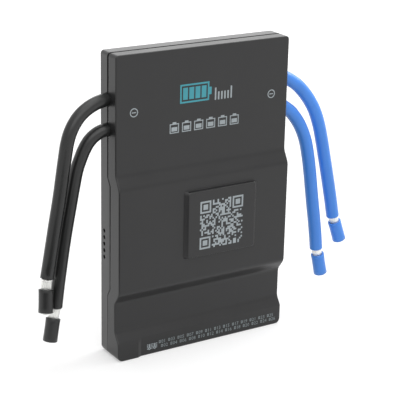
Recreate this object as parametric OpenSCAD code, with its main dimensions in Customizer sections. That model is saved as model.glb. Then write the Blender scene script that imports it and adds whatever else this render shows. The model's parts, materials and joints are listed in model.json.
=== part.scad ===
// Battery management board: a moulded two-part case that holds a circuit board,
// with two black and two blue power leads that come out of its sides.
// Millimetres. X runs across the case, Y from the printed front (-Y) to the flat back (+Y)
// and Z up. The origin is under the middle of the case, on the surface that it stands on.

/* [Case] */
// Width of the case
case_w = 102.8; // [98:0.1:120]
// Height of the case
case_h = 162; // [160:0.5:190]
// Thickness of the case walls
wall = 2; // [1.6:0.1:2.4]
// Radius of the case's two lower corners, seen from the front
corner_r = 3; // [2:0.5:5]
// Radius of its two upper corners
top_corner_r = 1.8; // [1:0.1:5]
// Rounding of the edges round the front and round the back
edge_r = 0.6; // [0.4:0.1:1.4]
// How far each side leans in between the parting line and the front or the back
side_draft = 0.15; // [0.05:0.05:0.5]

/* [Front profile] */
// Thickness of the case over the power transistors, at its top
top_t = 16; // [15.5:0.1:17]
// Thickness of the case over the capacitors, at its middle
mid_t = 19.8; // [19:0.1:22]
// Thickness of the case in the low band above the lip
low_t = 15; // [14.6:0.1:16]
// Thickness of the case at the bottom lip
lip_t = 19.1; // [18.6:0.1:21]
// Height of the flat part of the lip
lip_h = 9.5; // [8:0.5:11]
// Height of the slope from the lip to the low band
lip_slope = 6; // [4:0.5:7]
// Height of the low band
low_h = 16; // [14:0.5:18]
// Height of the thick middle
mid_h = 56; // [54:0.5:60]
// Height of the slopes above and below the thick middle
mid_slope = 6.5; // [5:0.5:8]
// Length over which each bend of the front is rounded
bend_r = 1.6; // [0.6:0.2:2.4]

/* [Raised pad] */
// Width of the pad's face
pad_w = 41.2; // [30:0.2:46]
// Height of the pad's face
pad_h = 36; // [26:0.2:40]
// How far the pad stands out of the thick middle
pad_rise = 2.2; // [1:0.1:3]
// How far the pad's side walls spread from its face to its foot
pad_draft = 1.6; // [0.5:0.1:2]
// How far the pad's top and bottom walls spread
pad_draft_z = 0.5; // [0.2:0.1:2]
// Radius of the pad's corners
pad_corner_r = 1.4; // [1:0.2:4]
// Distance of the pad's centre to the right of the case's centre
pad_x = 8.7; // [0:0.1:12]
// Distance of the pad's centre above the middle of the thick part
pad_lift = 3.3; // [0:0.1:5]
// Rounding of the edge round the pad's face
pad_edge_r = 0.4; // [0.2:0.1:0.8]

/* [Label recess] */
// Depth of the recess in the lip
recess_depth = 0.9; // [0.4:0.1:1.2]
// Width of the full-height block that stays at the left of the recess
recess_block_w = 12.1; // [8:0.1:14]
// Width of the slope between the block and the recess
recess_slope_w = 2.1; // [1:0.1:3]

/* [Parting line] */
// Thickness of the rear cover above and below the middle
rear_t = 7.5; // [7.2:0.1:7.8]
// Thickness of the rear cover along the thick middle
rear_mid_t = 10; // [9:0.1:10.5]
// Height of each jog of the parting line
seam_jog = 4; // [2:0.5:6]
// Gap between the covers at the top of the case
seam_gap_top = 1.5; // [0.3:0.1:1.6]
// Gap between the covers at the bottom of the case
seam_gap_bottom = 0.3; // [0.2:0.1:0.6]
// How far the rear cover's tongue reaches into the front cover
tongue_h = 2; // [1.4:0.1:2.6]

/* [Fits] */
// Clearance round the tongue and round parts that sit in a cut-out
slip = 0.1; // [0.05:0.05:0.2]
// Clearance between the case and the connectors in its bottom
socket_clear = 0.3; // [0.2:0.05:0.5]
// Clearance of a screw in a hole that it passes through
screw_clear = 0.3; // [0.2:0.05:0.5]

/* [Power leads] */
// Diameter of a lead over its insulation
lead_d = 6.8; // [6:0.1:7.2]
// Diameter of the bare conductor inside the case
conductor_d = 4.4; // [3.6:0.1:4.6]
// Diameter of the loosened strands at a lead's end
strands_d = 5.4; // [4.6:0.1:5.6]
// Outer diameter of the loose sleeve on a black lead's end
black_sleeve_d = 7.8; // [7:0.1:8.4]
// Outer diameter of the loose sleeve on a blue lead's end
blue_sleeve_d = 7.2; // [6.8:0.1:8]
// Distance of the upper leads' outlets below the top of the case
outlet_drop = 23.5; // [20:0.5:25]
// Distance from the upper leads' outlets down to the lower ones
outlet_pitch = 15.5; // [13:0.5:18]
// Length of the copper terminals along the conductors that they hold
terminal_l = 9.5; // [8:0.5:11]
// Height that a terminal has above its upper and below its lower conductor
terminal_margin = 6; // [4:0.5:7]
// Gap between a terminal and the inside of the case
terminal_gap = 2.1; // [1:0.1:2.5]
// Thickness of a terminal under the conductors
cradle_t = 0.5; // [0.4:0.1:0.8]

/* [Circuit board] */
// Thickness of the circuit board
board_t = 1.6; // [1.2:0.1:1.8]
// Gap between the board's edge and the inside of the case
board_gap = 2.4; // [1.6:0.1:3]
// Height of the board's lower edge above the case's bottom
board_z0 = 4; // [3.5:0.1:5]
// Depth of the posts that the board is screwed to
post_h = 1.2; // [0.8:0.1:1.6]
// Diameter of those posts
post_d = 6; // [5.5:0.1:7]
// Radius of the board's corners
board_corner_r = 1.5; // [0.5:0.1:3]

/* [Screws] */
// Diameter of the case screws
case_screw_d = 2.6; // [2.2:0.1:3]
// Head diameter of the case screws
case_head_d = 5; // [4.4:0.1:5.4]
// Head height of the case screws
case_head_h = 1.6; // [1.2:0.1:1.8]
// How far the case screws' heads sit below the back
head_sunk = 0.5; // [0.2:0.1:0.8]
// Height of the rear cover's bosses inside the case
rear_boss_h = 2; // [1.4:0.1:2.6]
// Length of the case screws under the head
case_screw_l = 9; // [7:0.5:9]
// Diameter of the front cover's screw bosses
boss_d = 6.5; // [6:0.1:7]
// Distance of the screw bosses from the case's sides
boss_inset = 6.9; // [6:0.1:7]
// Distance of the lowest screw bosses above the lip's slope
low_boss_rise = 3.5; // [3:0.5:8]
// Distance of the middle screw bosses below the upper end of the thick part
mid_boss_drop = 6; // [4:0.5:10]
// Distance of the highest screw bosses below the top of the case
top_boss_drop = 7.5; // [6:0.5:9]
// Thickness of the ribs between the bosses and the side walls
rib_t = 1.4; // [1:0.1:2]
// Diameter of the board screws
board_screw_d = 3; // [2.5:0.1:3]
// Head diameter of the board screws
board_head_d = 5.5; // [5:0.1:6]
// Head height of the board screws
board_head_h = 1.8; // [1.4:0.1:2]

/* [Connectors] */
// Spacing of the connector pins
pin_pitch = 2.5; // [2:0.05:2.6]
// Width across the flats of a pin
pin_w = 0.64; // [0.5:0.02:0.66]
// Number of pins in each balance connector
balance_ways = 13; // [8:1:13]
// Number of pins in the temperature connector
temperature_ways = 2; // [2:1:3]
// Thickness of the connector housings, front to back
header_t = 6.1; // [5.9:0.1:6.3]
// Length of the connector housings along the way that a plug goes in
header_l = 9; // [8.5:0.1:10]
// Thickness of the connector housings' walls
header_wall = 0.75; // [0.6:0.05:0.9]
// Distance from the case's bottom up to the mouths of the connectors
header_sunk = 1.6; // [0.5:0.1:1.8]
// Distance from a connector's mouth to the tips of its pins
pin_sunk = 2.6; // [2:0.1:3]
// Distance from a connector's last pin to the end of its housing
header_end = 2.45; // [2:0.05:3]
// Gap between the right balance connector and the inside of the case
balance_inset = 2.25; // [1:0.05:3]
// Gap between the two balance connectors
balance_space = 2.9; // [2:0.1:4]
// Gap between the left balance connector and the temperature connector
temperature_space = 2.15; // [1.5:0.05:4]

/* [Indicator lights] */
// Number of indicator lights
light_count = 5; // [1:1:6]
// Spacing of the indicator lights
light_pitch = 3.6; // [3:0.1:4]
// Height of the middle of the row of lights
light_z = 61.2; // [58:0.1:64]
// Diameter of the holes in front of the lights
light_hole_d = 2.2; // [1.2:0.1:2.4]
// How far a light stands out past the board's edge
light_reach = 0.6; // [0.2:0.1:1.4]

/* [Parts on the board] */
// Length of a balancing capacitor
capacitor_l = 24; // [18:0.5:25]
// Diameter of a balancing capacitor
capacitor_d = 10; // [8:0.1:11]
// Distance from the board's left edge to the nearest balancing capacitor
capacitor_margin = 7; // [6:0.5:9]
// Space between two balancing capacitors in a row
capacitor_space = 5; // [4:0.5:6]
// Gap between the two rows of balancing capacitors
capacitor_gap = 2.5; // [1:0.1:4]
// Height of the lower row of balancing capacitors above the foot of the thick part
capacitor_rise = 26; // [25:0.5:28]
// Diameter of a balancing inductor
inductor_d = 16; // [12:0.5:17]
// Height of a balancing inductor
inductor_h = 9; // [6:0.5:10]
// Distance from the board's right edge to a balancing inductor
inductor_margin = 6; // [3:0.5:8]
// Gap between the two balancing inductors
inductor_gap = 4; // [2:0.5:5]
// Height of the lower inductor's middle above the foot of the thick part
inductor_rise = 17; // [15:0.5:18]
// Diameter of a supply capacitor
supply_d = 8; // [6:0.5:8]
// Length of a supply capacitor
supply_l = 10; // [7:0.5:11]
// Distance from the board's left edge to the nearest supply capacitor
supply_margin = 6; // [4:0.5:8]
// Gap between the two supply capacitors
supply_gap = 3; // [1:0.5:4]
// Height of the supply capacitors' middle above the foot of the thick part
supply_rise = 10; // [9:0.5:12]
// Width of the controller chip
controller_w = 10; // [7:0.5:12]
// Height of the controller chip's middle above the foot of the thick part
controller_rise = 11; // [9:0.5:12]
// Distance from the board's left edge to the radio board
radio_margin = 14; // [8:0.5:16]
// Height of a power transistor
transistor_h = 4.4; // [3.6:0.1:4.6]
// Thickness of the thermal pad
thermal_pad_t = 0.5; // [0.3:0.1:0.8]
// Gap between one power transistor and the next
transistor_gap = 0.8; // [0.5:0.1:1.5]
// Distance between the two rows of power transistors
row_pitch = 17; // [15.5:0.5:18]
// Distance from the middle of the board to the nearest power transistor
screw_strip = 3.6; // [3.2:0.1:5]
// Thickness of the heat spreader over its fins
spreader_t = 2.6; // [2.2:0.1:3]
// Thickness of the heat spreader between its fins
spreader_base_t = 1.2; // [0.9:0.1:1.6]
// How far the heat spreader stands out past the thermal pad
spreader_rim = 1.8; // [0.5:0.1:2.5]
// Gap between the heat spreader and a terminal
stage_gap = 0.8; // [0.5:0.1:2]
// Gap between the heat spreader and the parts below it
strip_gap = 1; // [0.5:0.1:3]
// Number of fins on the heat spreader
fin_count = 17; // [9:2:21]
// Number of balancing switches in each of their two rows
switch_count = 12; // [8:1:12]
// Gap between a screw boss and the nearest balancing switch
switch_gap = 4; // [2:0.1:6]

/* [Hidden] */
$fn = 48;

// The case is centred front to back over the pad, which stands out furthest.
back_y = (mid_t + pad_rise) / 2;
top_y = back_y - top_t;
mid_y = back_y - mid_t;
low_y = back_y - low_t;
lip_y = back_y - lip_t;
recess_y = lip_y + recess_depth;
pad_y = mid_y - pad_rise;
half_w = case_w / 2;

// Heights at which the front bends, from the bottom up.
low_z0 = lip_h + lip_slope;
low_z1 = low_z0 + low_h;
mid_z0 = low_z1 + mid_slope;
mid_z1 = mid_z0 + mid_h;
top_z0 = mid_z1 + mid_slope;
pad_z = (mid_z0 + mid_z1) / 2 + pad_lift;
recess_x0 = -half_w + recess_block_w;
recess_x1 = recess_x0 + recess_slope_w;

// Parting line as [y, z] points, from the bottom up.
seam_y = back_y - rear_t;
seam_mid_y = back_y - rear_mid_t;
seam_line = [[seam_y, -1], [seam_y, mid_z0 - seam_jog], [seam_mid_y, mid_z0],
    [seam_mid_y, mid_z1], [seam_y, mid_z1 + seam_jog], [seam_y, case_h + 1]];

// Board, posts and what stands on the board.
back_in = back_y - wall;
board_back = back_in - post_h;
board_front = board_back - board_t;
board_x = half_w - wall - board_gap;
board_z1 = case_h - wall - board_gap;
board_mid = board_back - board_t / 2;
boss_xz = [for (x = [-1, 1], z = [low_z0 + low_boss_rise, mid_z1 - mid_boss_drop, case_h - top_boss_drop])
    [x * (half_w - boss_inset), z]];
board_screw_xz = [for (x = [-1, 1], p = [[board_x - 4, mid_z0 - 4], [board_x - 14, board_z1 - 6]])
    [x * p[0], p[1]]];
boss_end = back_in - rear_boss_h;
screw_seat = back_y - case_head_h - head_sunk;

// The leads leave the sides through holes across the parting line, level with the terminals.
outlet_high = case_h - outlet_drop;
outlet_low = outlet_high - outlet_pitch;
outlet_mid = (outlet_high + outlet_low) / 2;
outlet_r = lead_d / 2 + slip;
lead_y = board_front - cradle_t - conductor_d / 2;
terminal_x0 = half_w - wall - terminal_gap;
terminal_x1 = terminal_x0 - terminal_l;

// Power stage between the terminals: two rows of transistors under a heat spreader.
stage_y = board_front - transistor_h;
spreader_w = 2 * (terminal_x1 - stage_gap);
spreader_h = row_pitch + 16;
stage_z0 = outlet_mid - spreader_h / 2;
stage_w = spreader_w - 2 * spreader_rim;
transistor_pitch = (stage_w / 2 - screw_strip + transistor_gap) / 3;
transistor_w = transistor_pitch - transistor_gap;
transistor_x = [for (s = [-1, 1], i = [0:2]) s * (screw_strip + transistor_w / 2 + i * transistor_pitch)];
transistor_rows = [outlet_mid - row_pitch / 2, outlet_mid + row_pitch / 2];
spreader_screw_xz = [for (z = transistor_rows) [0, z]];

// Connectors side by side along the bottom, from the right wall.
function header_width(ways) = (ways - 1) * pin_pitch + 2 * header_end;
balance_w = header_width(balance_ways);
temperature_w = header_width(temperature_ways);
balance_right_x = half_w - wall - balance_inset - balance_w / 2;
balance_left_x = balance_right_x - balance_w - balance_space;
temperature_x = balance_left_x - (balance_w + temperature_w) / 2 - temperature_space;

// Points that each lead follows, from inside the case to its cut end.
discharge_upper_route = [[-47.9, 3.5, 138.5], [-51.4, 3.5, 138.5], [-55, 3.3, 138],
    [-59, 3, 137], [-63, 2.7, 135.2], [-66.8, 2.4, 132.6], [-69.8, 2.1, 129.4],
    [-72.3, 1.8, 125.5], [-74.1, 1.6, 121], [-76, 1.5, 111.5], [-77.6, 1.5, 101.5],
    [-79.3, 1.5, 91], [-81.2, 1.5, 81], [-83.1, 1.5, 70.5], [-85, 1.5, 60], [-86.7, 1.5, 50.8]];
discharge_upper_end = [[-86.7, 1.5, 50.8], [-87, 1.5, 48.5], [-87.2, 1.5, 45.2], [-87.6, 1.5, 32.4]];
discharge_lower_route = [[-47.9, 3.5, 123], [-51.4, 3.5, 123], [-54.5, 3.6, 122.6],
    [-58, 3.8, 121], [-61.2, 4.1, 118.2], [-63.7, 4.5, 114.2], [-65.7, 4.8, 109.5],
    [-67.5, 5, 104.5], [-69.6, 5, 95.5], [-71.6, 5, 85.5], [-73.6, 5, 75.5], [-75.5, 5, 65],
    [-77.2, 5, 54.5], [-78.8, 5, 44], [-80.3, 5, 32.6]];
discharge_lower_end = [[-80.3, 5, 32.6], [-80.9, 5, 30.2], [-81.8, 5, 27], [-83.8, 5, 14.6]];
battery_upper_route = [[47.9, 3.5, 138.5], [51.4, 3.5, 138.5], [54.2, 3.5, 138],
    [57.3, 3.5, 136.6], [60.6, 3.5, 134.6], [63.9, 3.5, 132.2], [67.5, 3.5, 128.7],
    [70.7, 3.5, 125], [73.4, 3.5, 121.2], [75.8, 3.5, 117.2], [79.2, 3.5, 109],
    [81.8, 3.5, 100], [84.1, 3.5, 90.5], [86.4, 3.5, 81], [88.7, 3.5, 71], [90.8, 3.5, 61.5],
    [92.6, 3.5, 52.6]];
battery_upper_end = [[92.6, 3.5, 52.6], [93.1, 3.5, 51.2], [94, 3.5, 49.4], [98.2, 3.5, 37.7]];
battery_lower_route = [[47.9, 3.5, 123], [51.4, 3.5, 123], [54.4, 3.5, 122],
    [57.6, 3.5, 120], [60.2, 3.5, 117.9], [62.6, 3.5, 115.2], [65.2, 3.5, 111.8],
    [67.5, 3.5, 108], [69.4, 3.5, 104], [71, 3.5, 99.8], [73.2, 3.5, 91], [74.9, 3.5, 82],
    [76.4, 3.5, 72.5], [77.9, 3.5, 63], [79.5, 3.5, 53.5], [81, 3.5, 43.6], [82.1, 3.5, 35]];
battery_lower_end = [[82.1, 3.5, 35], [82.4, 3.5, 33.4], [83.2, 3.5, 31.6], [86, 3.5, 19.4]];

// ---- Helpers ----

// Extrudes an outline drawn in Y and Z along X, centred.
module along_x(length)
    rotate([90, 0, 90]) translate([0, 0, -length / 2]) linear_extrude(length) children();

// Extrudes an outline drawn in X and Z along Y, from y0 to y1.
module along_y(y0, y1)
    translate([0, y1, 0]) rotate([90, 0, 0]) linear_extrude(y1 - y0) children();

// Round bar along Y, from y0 to y1.
module bar_y(y0, y1, d) along_y(y0, y1) circle(d = d);

// Block given by its lowest and highest corners.
module block(a, b) translate(a) cube(b - a);

// Rectangle with round corners, centred.
module round_rect(w, h, r) {
    square([w - 2 * r, h], center = true);
    square([w, h - 2 * r], center = true);
    for (x = [-1, 1], y = [-1, 1])
        translate([x * (w / 2 - r), y * (h / 2 - r)]) circle(r);
}

// The case's outline from the front, taken in by inset all round.
module case_outline(inset)
    translate([0, case_h / 2])
        round_rect(case_w - 2 * inset, case_h - 2 * inset, max(corner_r - inset, 0.5));

// Solid through a stack of rings with equally many points, which run anticlockwise
// as seen from the end that the stack grows towards.
module skin(rings) {
    n = len(rings[0]);
    top = (len(rings) - 1) * n;
    polyhedron(
        points = [for (ring = rings) each ring],
        faces = concat(
            [[for (i = [0:n - 1]) i]],
            [[for (i = [n - 1:-1:0]) top + i]],
            [for (j = [0:n:top - n], i = [0:n - 1]) each
                let (k = (i + 1) % n)
                    [[j + i, j + n + i, j + n + k], [j + i, j + n + k, j + k]]]));
}

// Points of a quarter-round bend from a towards c, past the corner b.
function bend(a, b, c) =
    let (p = b + bend_r * unit(a - b), q = b + bend_r * unit(c - b))
        [for (t = [0:0.25:1]) (1 - t) * (1 - t) * p + 2 * t * (1 - t) * b + t * t * q];
function unit(v) = v / norm(v);

// How far a rounded edge of radius r falls back at the distance d from its end.
function fall(d, r) = d < r ? r - sqrt(r * r - (r - d) * (r - d)) : 0;

// Rectangle with round corners as points in X and Z at one height in Y, anticlockwise
// as seen from the front. top_r is the radius of its upper corners, where that differs.
function rect_ring(x, z, w, h, r, y, top_r) =
    [for (corner = [[1, 1, 0], [-1, 1, 90], [-1, -1, 180], [1, -1, 270]], a = [0:22.5:90])
        let (q = corner[1] > 0 && !is_undef(top_r) ? top_r : r)
        [x + corner[0] * (w / 2 - q) + q * cos(corner[2] + a), y,
            z + corner[1] * (h / 2 - q) + q * sin(corner[2] + a)]];

// ---- Case ----

// The front's profile as [z, y] points, with its bends rounded.
profile = [[0, lip_y], [lip_h, lip_y], [low_z0, low_y], [low_z1, low_y],
    [mid_z0, mid_y], [mid_z1, mid_y], [top_z0, top_y], [case_h, top_y]];
recess_top = lip_h + lip_slope * recess_depth / (lip_t - low_t);
end_steps = [for (a = [0:15:90]) 1 - cos(a)];
stations = concat(
    [for (e = end_steps) [corner_r * e, lip_y]],
    bend(profile[0], profile[1], profile[2]),
    [for (z = recess_top) if (z > lip_h + bend_r + 0.1) [z, recess_y]],
    [for (i = [2:len(profile) - 2]) each bend(profile[i - 1], profile[i], profile[i + 1])],
    [for (i = [len(end_steps) - 1:-1:0]) [case_h - top_corner_r * end_steps[i], top_y]]);

// One level of the front cover's outside: left side, front with the recess, right side.
function front_ring(z, y) =
    let (
        end = min(z, case_h - z),
        hw = half_w - fall(end, z < case_h / 2 ? corner_r : top_corner_r),
        front = hw - side_draft,
        left_y = y + fall(end, edge_r),
        right_y = (z < low_z0 ? max(y, recess_y) : y) + fall(end, edge_r))
    concat(
        [[-hw, back_in, z], [-hw, seam_y, z]],
        [for (a = [180:22.5:270])
            [-front + edge_r + edge_r * cos(a), left_y + edge_r + edge_r * sin(a), z]],
        [[recess_x0, left_y, z], [recess_x1, right_y, z]],
        [for (a = [270:22.5:360])
            [front - edge_r + edge_r * cos(a), right_y + edge_r + edge_r * sin(a), z]],
        [[hw, seam_y, z], [hw, back_in, z]]);

// Everything behind the parting line, moved towards the front by forward.
module behind_seam(forward_bottom, forward_top)
    along_x(case_w + 10)
        polygon(concat(
            [for (p = seam_line)
                [p[0] - forward_bottom - (forward_top - forward_bottom) * p[1] / case_h, p[1]]],
            [[back_y + 5, case_h + 1], [back_y + 5, -1]]));

// Pad that stands out of the middle of the front, with sloping walls.
module pad_form(shrink, foot_y, face_y) {
    spread = [pad_draft, pad_draft_z] / pad_rise;
    steps = [for (a = [0:30:90]) pad_edge_r * [1 - cos(a), 1 - sin(a)]];
    function ring(inset, depth, y) =
        let (size = [pad_w - shrink, pad_h - shrink] + 2 * (spread * depth - [inset, inset]))
        rect_ring(pad_x, pad_z, size[0], size[1], pad_corner_r, y);
    skin(concat(
        [ring(0, foot_y - pad_y, foot_y)],
        [for (s = steps) ring(s[0], s[1], face_y + s[1])]));
}

// Openings in the case's bottom for the connectors.
module socket_cuts()
    for (h = [[balance_left_x, balance_ways], [balance_right_x, balance_ways],
              [temperature_x, temperature_ways]])
        let (w = header_width(h[1]) / 2 + socket_clear)
            block([h[0] - w, board_front - header_t - socket_clear, -1],
                [h[0] + w, board_front + socket_clear, wall + 1]);

// Round outlets for the four leads.
module outlets()
    for (z = [outlet_high, outlet_low])
        translate([-half_w - 1, lead_y, z])
            rotate([0, 90, 0]) cylinder(r = outlet_r, h = case_w + 2);

// Room inside the front cover, one wall behind its front.
module front_room()
    intersection() {
        along_x(case_w)
            polygon(concat([for (p = profile)
                [(p[0] <= lip_h ? recess_y : p[1]) + wall, p[0]]],
                [[back_y, case_h], [back_y, 0]]));
        along_y(-back_y, back_y) case_outline(wall);
    }

module front_cover() color([0.13, 0.13, 0.14]) {
    difference() {
        union() {
            skin([for (s = stations) front_ring(s[0], s[1])]);
            pad_form(0, mid_y + wall / 2, pad_y);
        }
        behind_seam(seam_gap_bottom, seam_gap_top);
        front_room();
        intersection() {
            behind_seam(tongue_h + slip, tongue_h + slip);
            along_y(-back_y, back_y) case_outline(wall / 2);
        }
        pad_form(2 * wall, mid_y + wall + 1, pad_y + wall);
        outlets();
        socket_cuts();
    }
    for (p = boss_xz) front_boss(p[0], p[1]);
}

// Thickness of the front at a height, as the y of its inner face.
function inner_y(z) = z > top_z0 ? top_y + wall : z > low_z1 ? mid_y + wall : low_y + wall;

// Boss that takes one case screw, with a rib to the side wall.
module front_boss(x, z) {
    root = inner_y(z) - wall / 2;
    rib_x = sign(x) * (half_w - wall / 2 - 2 * slip);
    rib_y = max(seam_mid_y - tongue_h - 3 * slip, root + wall / 2);
    difference() {
        union() {
            translate([x, 0, z]) bar_y(root, boss_end, boss_d);
            block([min(x, rib_x), root, z - rib_t / 2], [max(x, rib_x), rib_y, z + rib_t / 2]);
        }
        translate([x, 0, z])
            bar_y(screw_seat - case_screw_l - 1, boss_end + 1, case_screw_d + slip);
    }
}

module rear_cover() color([0.17, 0.17, 0.18])
    difference() {
        union() {
            difference() {
                rear_form();
                along_y(seam_mid_y - 5, back_in) case_outline(wall);
            }
            for (p = boss_xz)
                translate([p[0], 0, p[1]]) bar_y(boss_end, back_y - wall / 2, boss_d + 1.5);
            for (p = concat(board_screw_xz, spreader_screw_xz))
                translate([p[0], 0, p[1]]) bar_y(board_back, back_y - wall / 2, post_d);
        }
        for (p = boss_xz) translate([p[0], 0, p[1]]) {
            bar_y(screw_seat, back_y + 1, case_head_d + 2 * screw_clear);
            bar_y(boss_end - 1, back_y, case_screw_d + 2 * screw_clear);
        }
        for (p = concat(board_screw_xz, spreader_screw_xz))
            translate([p[0], 0, p[1]]) bar_y(board_back - 1, back_y - 0.6, board_screw_d + slip);
        for (z = light_heights)
            translate([-half_w - 1, board_mid, z])
                rotate([0, 90, 0]) cylinder(d = light_hole_d, h = wall + 2);
        outlets();
        socket_cuts();
    }

// Outside of the rear cover behind the parting line, with its tongue.
module rear_form() {
    intersection() {
        skin(concat(
            [for (t = [0:22.5:90])
                rear_ring(back_y - edge_r * (1 - cos(t)), side_draft, edge_r * (1 - sin(t)))],
            [rear_ring(seam_y, 0, 0), rear_ring(seam_mid_y - 1, 0, 0)]));
        behind_seam(0, 0);
    }
    difference() {
        intersection() {
            along_y(seam_mid_y - tongue_h, back_in) case_outline(wall / 2 + slip);
            behind_seam(tongue_h, tongue_h);
        }
        along_y(seam_mid_y - tongue_h - 1, back_in) case_outline(wall);
    }
}
function rear_ring(y, draft, inset) =
    rect_ring(0, case_h / 2, case_w - 2 * (draft + inset), case_h - 2 * inset,
        corner_r - inset / 2, y, top_corner_r - inset / 2);

module case_screws() color([0.62, 0.63, 0.65])
    for (p = boss_xz) translate([p[0], 0, p[1]])
        difference() {
            union() {
                bar_y(screw_seat - case_screw_l, screw_seat, case_screw_d);
                bar_y(screw_seat, screw_seat + case_head_h, case_head_d);
            }
            cross_slot(screw_seat + case_head_h);
        }

// Cross recess in a screw head that faces the back.
module cross_slot(y)
    for (s = [[1.3, 0.3], [0.3, 1.3]])
        block([-s[0], y - 0.9, -s[1]], [s[0], y + 1, s[1]]);

// ---- Circuit board ----

light_w = 1.6;
light_h = 1.4;
// Depth of the notch that a light sits in, from the board's edge.
light_seat = 1.3;
light_heights = [for (i = [0:light_count - 1]) light_z + (i - (light_count - 1) / 2) * light_pitch];
function pin_places(x, ways) = [for (i = [0:ways - 1]) x + (i - (ways - 1) / 2) * pin_pitch];
balance_pin_x = concat(pin_places(balance_left_x, balance_ways),
    pin_places(balance_right_x, balance_ways));
temperature_pin_x = pin_places(temperature_x, temperature_ways);
pin_y = board_front - header_t / 2;
header_z1 = header_sunk + header_l;
tail_z = header_z1 + 1.4;

module circuit_board() color([0.05, 0.28, 0.16])
    difference() {
        along_y(board_front, board_back)
            translate([0, (board_z0 + board_z1) / 2])
                round_rect(2 * board_x, board_z1 - board_z0, board_corner_r);
        for (x = concat(balance_pin_x, temperature_pin_x))
            translate([x, 0, tail_z]) bar_y(board_front - 1, board_back + 1, pin_w * 1.6);
        for (p = concat(board_screw_xz, spreader_screw_xz))
            translate([p[0], 0, p[1]])
                bar_y(board_front - 1, board_back + 1, board_screw_d + 2 * screw_clear);
        for (p = boss_xz)
            translate([p[0], 0, p[1]]) bar_y(board_front - 1, board_back + 1, boss_d + 2.5);
        for (z = light_heights)
            block([-board_x - 1, board_front - 1, z - light_w / 2 - slip],
                [-board_x + light_seat, board_back + 1, z + light_w / 2 + slip]);
    }

// Pan head screw that points to the back, with its head's underside at y.
module pan_screw(y, length) {
    difference() {
        bar_y(y - board_head_h, y, board_head_d);
        for (s = [[1.3, 0.3], [0.3, 1.3]])
            block([-s[0], y - board_head_h - 1, -s[1]], [s[0], y - board_head_h / 2, s[1]]);
    }
    bar_y(y, y + length, board_screw_d);
}
// How far a screw reaches past the back of the board.
screw_reach = post_h + wall - 1;

module board_screws() color([0.75, 0.76, 0.78])
    for (p = board_screw_xz) translate([p[0], 0, p[1]])
        pan_screw(board_front, board_t + screw_reach);

module indicator_lights() color([0.85, 0.9, 0.95])
    for (z = light_heights)
        block([-board_x - light_reach, board_mid - light_h / 2, z - light_w / 2],
            [-board_x + light_seat - 0.1, board_mid + light_h / 2, z + light_w / 2]);

// ---- Connectors in the bottom ----

// Shrouded header with its mouth down and two key slots in its front wall.
module header(x, ways, pins) color([0.93, 0.91, 0.84]) {
    w = header_width(ways) / 2;
    y0 = board_front - header_t;
    difference() {
        block([x - w, y0, header_sunk], [x + w, board_front, header_z1]);
        block([x - w + header_wall, y0 + header_wall, header_sunk - 1],
            [x + w - header_wall, board_front - header_wall, header_z1 - 2]);
        for (s = [-1, 1])
            block([x + s * (w - 2.6) - 0.6, y0 - 1, header_sunk - 1],
                [x + s * (w - 2.6) + 0.6, y0 + header_wall + 1, header_z1 - 3.5]);
        for (px = pins)
            block([px - pin_w / 2 - 0.03, pin_y - pin_w / 2 - 0.03, header_z1 - 3],
                [px + pin_w / 2 + 0.03, pin_y + pin_w / 2 + 0.03, header_z1 + 1]);
    }
}
module balance_header_left()
    header(balance_left_x, balance_ways, pin_places(balance_left_x, balance_ways));
module balance_header_right()
    header(balance_right_x, balance_ways, pin_places(balance_right_x, balance_ways));
module temperature_header() header(temperature_x, temperature_ways, temperature_pin_x);

// Square pin that bends back through the board.
module pin(x) {
    s = pin_w / 2;
    block([x - s, pin_y - s, header_sunk + pin_sunk], [x + s, pin_y + s, tail_z + s]);
    block([x - s, pin_y - s, tail_z - s], [x + s, board_back + 0.7, tail_z + s]);
}
module balance_pins() color([0.85, 0.75, 0.4]) for (x = balance_pin_x) pin(x);
module temperature_pins() color([0.85, 0.75, 0.4]) for (x = temperature_pin_x) pin(x);

// ---- Power stage ----

// Copper block on the board, with a cradle for each conductor. side is -1 or 1.
module terminal(side) color([0.8, 0.48, 0.28])
    difference() {
        block([min(side * terminal_x0, side * terminal_x1), lead_y, outlet_low - terminal_margin],
            [max(side * terminal_x0, side * terminal_x1), board_front, outlet_high + terminal_margin]);
        for (z = [outlet_low, outlet_high])
            translate([side * (terminal_x1 - 1), lead_y, z]) rotate([0, side * 90, 0])
                cylinder(d = conductor_d + slip, h = terminal_l + 2);
    }
module discharge_terminal() terminal(-1);
module battery_terminal() terminal(1);

// Bare conductors from the leads' inner ends into the cradles.
module conductors(side) color([0.86, 0.86, 0.84])
    for (z = [outlet_low, outlet_high])
        translate([side * (terminal_x0 + 0.2), lead_y, z]) rotate([0, -side * 90, 0])
            cylinder(d = conductor_d, h = terminal_l - 1);
module discharge_conductors() conductors(-1);
module battery_conductors() conductors(1);

// Flat power package: a moulded body on a metal tab with three legs.
module power_transistors()
    for (x = transistor_x, z = transistor_rows) translate([x, 0, z]) color([0.1, 0.1, 0.1]) {
        along_x(transistor_w) polygon([[board_front - 0.6, -4.4], [board_front - 0.6, 4.4],
            [stage_y, 3.9], [stage_y, -3.9]]);
        block([0.4 - transistor_w / 2, board_front - 1.2, -4], [transistor_w / 2 - 0.4, board_front, 5.6]);
        for (i = [-1, 0, 1])
            block([2.5 * i - 0.4, board_front - 0.9, -6.6], [2.5 * i + 0.4, board_front, -3.5]);
    }

module thermal_pad() color([0.55, 0.65, 0.75])
    difference() {
        translate([0, 0, outlet_mid]) along_y(stage_y - thermal_pad_t, stage_y)
            square([stage_w, spreader_h - 2 * spreader_rim], center = true);
        for (p = spreader_screw_xz)
            translate([p[0], 0, p[1]]) bar_y(stage_y - thermal_pad_t - 1, stage_y + 1, board_head_d);
    }

spreader_y = stage_y - thermal_pad_t;
spreader_seat_y = spreader_y - 0.6;

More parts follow.
